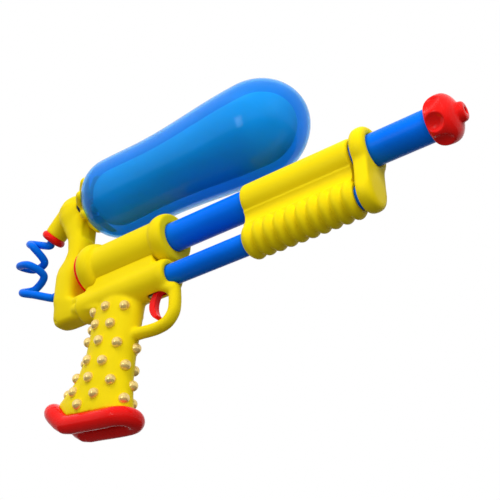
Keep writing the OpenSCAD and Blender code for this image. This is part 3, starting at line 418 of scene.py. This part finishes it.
# %% [markdown]
# ## Softening and carving
# Two more helpers. Softening is the body's recipe for a single piece: a fine voxel skin, a relax
# pass and, where a piece looks thin for it, a slight swell. Carving takes the shape of a cutter
# away with a Boolean and then removes the cutter.

# %% Helpers for soft pieces
def soften(obj, voxel, passes, swell=0):
    """Rounds every edge of an object; voxel and swell in millimetres."""
    add_modifier(obj, "REMESH", mode="VOXEL", voxel_size=voxel * MM)
    add_modifier(obj, "SMOOTH", factor=RELAX_FACTOR, iterations=passes)
    if swell:
        add_modifier(obj, "DISPLACE", strength=swell * MM, mid_level=0)
    only(obj)
    bpy.ops.object.shade_smooth()


def carve(obj, cutter):
    settle(cutter)
    add_modifier(obj, "BOOLEAN", operation="DIFFERENCE", object=cutter)
    bpy.data.objects.remove(cutter)


# %% [markdown]
# ## The barrel housing
# A straight yellow sleeve with a fat rounded bead at each end. Its profile is walked with half
# ellipses for the beads, and softening rounds the inner corners where bead and sleeve meet.

# %% Barrel housing
HOUSING = dict(rear=-38.0, front=68.0, r=21.0, bore=13.5, rear_bead_r=26.0, rear_bead_half=9.0,
               front_bead_r=24.0, front_bead_half=7.5, voxel=0.9, relax=14)


def bead_points(middle, half, crest, steps=24):
    return [(middle + half * math.cos(a), HOUSING["r"] + (crest - HOUSING["r"]) * math.sin(a))
            for a in (math.pi * (1 - i / steps) for i in range(steps + 1))]


housing_line = [(HOUSING["rear"], HOUSING["bore"])]
housing_line += bead_points(HOUSING["rear"] + HOUSING["rear_bead_half"], HOUSING["rear_bead_half"],
                            HOUSING["rear_bead_r"])
housing_line += bead_points(HOUSING["front"] - HOUSING["front_bead_half"], HOUSING["front_bead_half"],
                            HOUSING["front_bead_r"])
housing_line += [(HOUSING["front"], HOUSING["bore"])]
housing = lathe(housing_line + [housing_line[0]], BARREL_Z)
soften(housing, HOUSING["voxel"], HOUSING["relax"])
dress(housing, "barrel_sleeve", "body", "yellow", "barrel_housing")

# %% [markdown]
# ## The nozzle
# A blunt red bulb that narrows to a short tip with the outlet in it. The outline is a smooth line
# through a few marks; the inside is the stepped bore that the barrel and the brass outlet sit in.
# Seven round cutters set round the bulb leave the finger scallops, and softening blends them.

# %% Nozzle
NOZZLE = dict(bulb_r=20.0, voxel=0.4, relax=30, fineness=6)
NOZZLE_MARKS = ((323.5, 15.4), (325.5, 17.6), (329.5, 19.5), (334.5, NOZZLE["bulb_r"]), (339.0, 19.0),
                (342.6, 16.0), (344.9, 12.2), (346.0, 9.4), (347.2, 8.2), (349.0, 8.0), (350.6, 7.2),
                (351.4, 5.6))
NOZZLE_BORE = ((351.5, 4.4), (351.5, 2.5), (345.5, 2.5), (345.5, 3.4), (333.7, 3.4), (333.7, 13.6),
               (323.5, 13.6))
SCALLOPS = dict(count=7, x=329.0, r=10.5, deep=4.8, stretch=1.25)

nozzle_curve = spline_through([Vector((x, r, 0)) for x, r in NOZZLE_MARKS], NOZZLE["fineness"])
nozzle_line = [(p.x, p.y) for p in nozzle_curve] + [NOZZLE_MARKS[-1]] + list(NOZZLE_BORE)
nozzle = lathe(nozzle_line + [nozzle_line[0]], BARREL_Z)
reach = NOZZLE["bulb_r"] + SCALLOPS["r"] - SCALLOPS["deep"]
for i in range(SCALLOPS["count"]):
    turn = 2 * math.pi * (i + 0.5) / SCALLOPS["count"]
    scallop = Vector((SCALLOPS["x"], reach * math.sin(turn), BARREL_Z + reach * math.cos(turn)))
    deselect()
    bpy.ops.mesh.primitive_uv_sphere_add(segments=32, ring_count=16, radius=SCALLOPS["r"] * MM,
                                         scale=(SCALLOPS["stretch"], 1, 1), location=scallop * MM)
    carve(nozzle, bpy.context.object)
soften(nozzle, NOZZLE["voxel"], NOZZLE["relax"])
dress(nozzle, "nozzle_skin", "nozzle", "red", "nozzle_cap")

# %% [markdown]
# ## The pump handle
# The handle is a smooth sleeve over a ribbed lobe. In the photograph the two meet in a hollow, so
# a long round cutter takes a hollow out of each flank of the CAD copy before it is softened.

# %% Pump handle
HANDLE = dict(rear=152.0, front=258.0, voxel=0.5, relax=7)
HOLLOW = dict(y=18.5, z=84.0, r=10.0, overrun=20)

handle_length = HANDLE["front"] - HANDLE["rear"]
handle_middle = (HANDLE["rear"] + HANDLE["front"]) / 2
handle_skin = copy_of("pump_handle")
for side in (-1, 1):
    hollow = Vector((handle_middle, side * HOLLOW["y"], HOLLOW["z"]))
    deselect()
    bpy.ops.mesh.primitive_cylinder_add(vertices=48, radius=HOLLOW["r"] * MM,
                                        depth=(handle_length + HOLLOW["overrun"]) * MM,
                                        location=hollow * MM, rotation=(0, math.pi / 2, 0))
    carve(handle_skin, bpy.context.object)
soften(handle_skin, HANDLE["voxel"], HANDLE["relax"])
dress(handle_skin, "pump_handle_skin", "pump", "yellow", "pump_handle")

# %% [markdown]
# ## Soft copies
# The yoke, the fluted collar, the trigger, the foot ring, the hose gland and the studs have the
# right shape in CAD and need only the softness of a moulded part; how much is set for each.

# %% Soft copies of single nodes
SOFT = (
    # node, piece, body, slot, voxel in mm, relax passes, swell in mm
    ("front_yoke", "front_yoke_skin", "body", "yellow", 0.7, 110, 0.3),
    ("tank_collar", "tank_collar_skin", "collar", "yellow", 0.6, 12, 0),
    ("trigger", "trigger_skin", "trigger", "red", 0.35, 10, 0),
    ("base_ring", "foot_ring_skin", "body", "red", 0.7, 30, 0.2),
    ("hose_gland", "hose_gland_skin", "body", "red", 0.35, 6, 0.8),
    ("grip_studs", "grip_stud_domes", "body", "gold", 0.4, 6, 0.55),
)
for node, piece, body, slot, voxel, passes, swell in SOFT:
    skin = copy_of(node)
    soften(skin, voxel, passes, swell)
    dress(skin, piece, body, slot, node)

# %% [markdown]
# ## Finishes
# Moulded plastic is never one flat colour: the pigment drifts a little, the skin has a fine
# orange-peel, and handling polishes it unevenly. One helper builds that for every finish: two
# noises on Object coordinates drive a slight colour drift, a roughness drift and a fine bump.

# %% Plastic finish
DRIFT = dict(scale=22.0, detail=4.0, low=0.3, high=0.7)
GRAIN_DETAIL = 2.0
BUMP_HEIGHT = 0.0005


def add_node(tree, kind, **inputs):
    """Adds a shader node and sets its inputs; transmission_weight stands for Transmission Weight."""
    node = tree.nodes.new("ShaderNode" + kind)
    for key, value in inputs.items():
        node.inputs[key.replace("_", " ").title().replace("Ior", "IOR")].default_value = value
    return node


def plastic(name, colour, drift, rough, rough_drift=0.06, grain=900.0, bump=0.02, **sockets):
    mat = bpy.data.materials.new(name)
    mat.use_nodes = True
    tree = mat.node_tree
    tree.nodes.clear()
    out = add_node(tree, "OutputMaterial")
    shader = add_node(tree, "BsdfPrincipled", **sockets)
    coords = add_node(tree, "TexCoord")
    broad = add_node(tree, "TexNoise", scale=DRIFT["scale"], detail=DRIFT["detail"])
    fine = add_node(tree, "TexNoise", scale=grain, detail=GRAIN_DETAIL)
    ramp = add_node(tree, "ValToRGB")
    low, high = ramp.color_ramp.elements
    low.position, high.position = DRIFT["low"], DRIFT["high"]
    low.color = (*(c * (1 - drift) for c in colour), 1)
    high.color = (*(min(1, c * (1 + drift)) for c in colour), 1)
    span = add_node(tree, "MapRange", to_min=rough - rough_drift, to_max=rough + rough_drift)
    bumps = add_node(tree, "Bump", strength=bump, distance=BUMP_HEIGHT)
    link = tree.links.new
    link(coords.outputs["Object"], broad.inputs["Vector"])
    link(coords.outputs["Object"], fine.inputs["Vector"])
    link(broad.outputs["Fac"], ramp.inputs["Fac"])
    link(ramp.outputs["Color"], shader.inputs["Base Color"])
    link(broad.outputs["Fac"], span.inputs["Value"])
    link(span.outputs["Result"], shader.inputs["Roughness"])
    link(fine.outputs["Fac"], bumps.inputs["Height"])
    link(bumps.outputs["Normal"], shader.inputs["Normal"])
    link(shader.outputs["BSDF"], out.inputs["Surface"])
    print("finish", name)
    return mat


# %% [markdown]
# Each slot of the record gets its own finish. The colours are the ones that plain light shows in
# the photograph. The tank is mostly see-through, the studs are half metal, as metallised plastic
# is, and the satin yellow and the tubes mirror very little.

# %% The finishes
FINISH = {
    "yellow": plastic("yellow_satin_plastic", (0.93, 0.72, 0.003), 0.03, 0.48, bump=0.03,
                      specular_ior_level=0.1),
    "blue": plastic("blue_tube_plastic", (0.0006, 0.17, 0.92), 0.06, 0.34, specular_ior_level=0.06),
    "tank": plastic("clear_blue_plastic", (0.02, 0.40, 0.88), 0.02, 0.04, 0.015, bump=0.005,
                    transmission_weight=0.78, ior=1.2),
    "bladder": plastic("bladder_blue_rubber", (0.001, 0.52, 0.44), 0.06, 0.5, grain=1400.0, bump=0.05,
                       specular_ior_level=0.1),
    "red": plastic("red_gloss_plastic", (0.98, 0.010, 0.008), 0.06, 0.2, 0.04, specular_ior_level=0.12),
    "gold": plastic("gold_metallised_plastic", (0.95, 0.70, 0.24), 0.05, 0.28, 0.05, metallic=0.5),
    "steel": plastic("plain_steel", (0.55, 0.55, 0.57), 0.06, 0.32, metallic=1.0),
    "brass": plastic("turned_brass", (0.75, 0.52, 0.18), 0.06, 0.28, metallic=1.0),
    "fitting": plastic("grey_fitting_plastic", (0.05, 0.055, 0.06), 0.08, 0.45),
    "seal": plastic("black_seal_rubber", (0.012, 0.012, 0.012), 0.1, 0.6),
}

# %% [markdown]
# The record says which slot each CAD node takes; each new piece noted its own slot when it was
# dressed. One loop hands all of them their finish.

# %% Hand out the finishes
wearers = [(nodes[part["node"]], part["material_slot"]) for part in frame["record"]["subparts"]]
wearers += [(bpy.data.objects[name], slot) for name, slot in piece_slot.items()]
for obj, slot in wearers:
    obj.data.materials.clear()
    obj.data.materials.append(FINISH[slot])
print("finished", len(nodes), "nodes and", len(piece_slot), "pieces")

# %% [markdown]
# ## The valve spring
# The trigger pushes the valve's plunger back against a small spring inside the body; the spring rests
# on the valve body. Here the spring only gets a mesh of its own.

# %% Valve spring
spring = bpy.data.objects["valve_spring"]
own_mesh(spring)

# %% [markdown]
# ## Floor
# A pale floor lies well below the camera, so that it is out of the photograph's picture but catches
# the shadow in every other view. To the camera it is pale paper with a faint glow; to all other
# light it is a dim grey, so that it throws little light up at the undersides.

# %% Studio floor
FLOOR = dict(size=6, place=(0.1, 0, -0.45), pale=0.86, glow=0.3, dim=0.25)

deselect()
bpy.ops.mesh.primitive_plane_add(size=FLOOR["size"], location=FLOOR["place"])
floor = bpy.context.object
floor.name = "studio_floor"
settle(floor)
paper = plastic("floor_paper", (FLOOR["pale"],) * 3, 0.01, 0.8, bump=0.01,
                emission_color=(1, 1, 1, 1), emission_strength=FLOOR["glow"])
floor.data.materials.append(paper)

paper_tree = paper.node_tree
paper_out = next(n for n in paper_tree.nodes if n.type == "OUTPUT_MATERIAL")
paper_shader = next(n for n in paper_tree.nodes if n.type == "BSDF_PRINCIPLED")
paper_dim = add_node(paper_tree, "BsdfDiffuse", color=(*(FLOOR["dim"],) * 3, 1))
paper_path = add_node(paper_tree, "LightPath")
paper_mix = add_node(paper_tree, "MixShader")
paper_tree.links.new(paper_path.outputs["Is Camera Ray"], paper_mix.inputs["Fac"])
paper_tree.links.new(paper_dim.outputs["BSDF"], paper_mix.inputs[1])
paper_tree.links.new(paper_shader.outputs["BSDF"], paper_mix.inputs[2])
paper_tree.links.new(paper_mix.outputs["Shader"], paper_out.inputs["Surface"])
print("floor at", FLOOR["place"])

# %% [markdown]
# ## World
# The photograph has a pure white ground. The world is plain white to the camera, to mirrors and
# through clear plastic, and a calmer grey as a light.

# %% Studio world
WORLD_LIGHT = 0.36
WHITE = (1, 1, 1, 1)

world = bpy.data.worlds.new("studio_world")
bpy.context.scene.world = world
world.use_nodes = True
sky = world.node_tree
sky.nodes.clear()
sky_out = add_node(sky, "OutputWorld")
sky_white = add_node(sky, "Background", color=WHITE, strength=1.0)
sky_light = add_node(sky, "Background", color=WHITE, strength=WORLD_LIGHT)
sky_mix = add_node(sky, "MixShader")
sky_path = add_node(sky, "LightPath")
seen = add_node(sky, "Math")
seen_or_mirrored = add_node(sky, "Math")
for either in (seen, seen_or_mirrored):
    either.operation = "MAXIMUM"
sky.links.new(sky_path.outputs["Is Camera Ray"], seen.inputs[0])
sky.links.new(sky_path.outputs["Is Transmission Ray"], seen.inputs[1])
sky.links.new(seen.outputs[0], seen_or_mirrored.inputs[0])
sky.links.new(sky_path.outputs["Is Glossy Ray"], seen_or_mirrored.inputs[1])
sky.links.new(seen_or_mirrored.outputs[0], sky_mix.inputs["Fac"])
sky.links.new(sky_light.outputs[0], sky_mix.inputs[1])
sky.links.new(sky_white.outputs[0], sky_mix.inputs[2])
sky.links.new(sky_mix.outputs[0], sky_out.inputs["Surface"])
print("world light", WORLD_LIGHT)

# %% [markdown]
# ## Lamps
# A broad soft light from above does most of the work; a weak one fills in from the muzzle's side
# and a small one lights the yoke and nozzle. Only the lamp at the side is mirrored: it makes the
# one clear highlight on the tank.

# %% Lamps
LAMPS = (
    # name, place, aim, size, watts, mirrored
    ("key_softbox", (0.0, -0.8, 1.05), (0.08, 0, 0.1), (0.7, 0.5), 9.0, False),
    ("fill_softbox", (0.55, -0.8, -0.15), (0.15, 0, 0.1), (0.8, 0.6), 1.2, False),
    ("side_softbox", (-0.05, -1.11, 0.08), (0.1, 0, 0.1), (0.25, 0.4), 1.7, True),
    ("front_softbox", (0.66, -0.32, 0.32), (0.33, 0, 0.11), (0.3, 0.3), 1.8, False),
)
for name, place, aim, size, watts, mirrored in LAMPS:
    deselect()
    bpy.ops.object.light_add(type="AREA", location=place)
    lamp = bpy.context.object
    lamp.name = name
    lamp.data.shape = "RECTANGLE"
    lamp.data.size, lamp.data.size_y = size
    lamp.data.energy = watts
    lamp.rotation_euler = (Vector(aim) - Vector(place)).to_track_quat("-Z", "Y").to_euler()
    lamp.visible_glossy = mirrored
bpy.context.scene.view_settings.view_transform = "Standard"
print("studio ready:", len(LAMPS), "lamps")
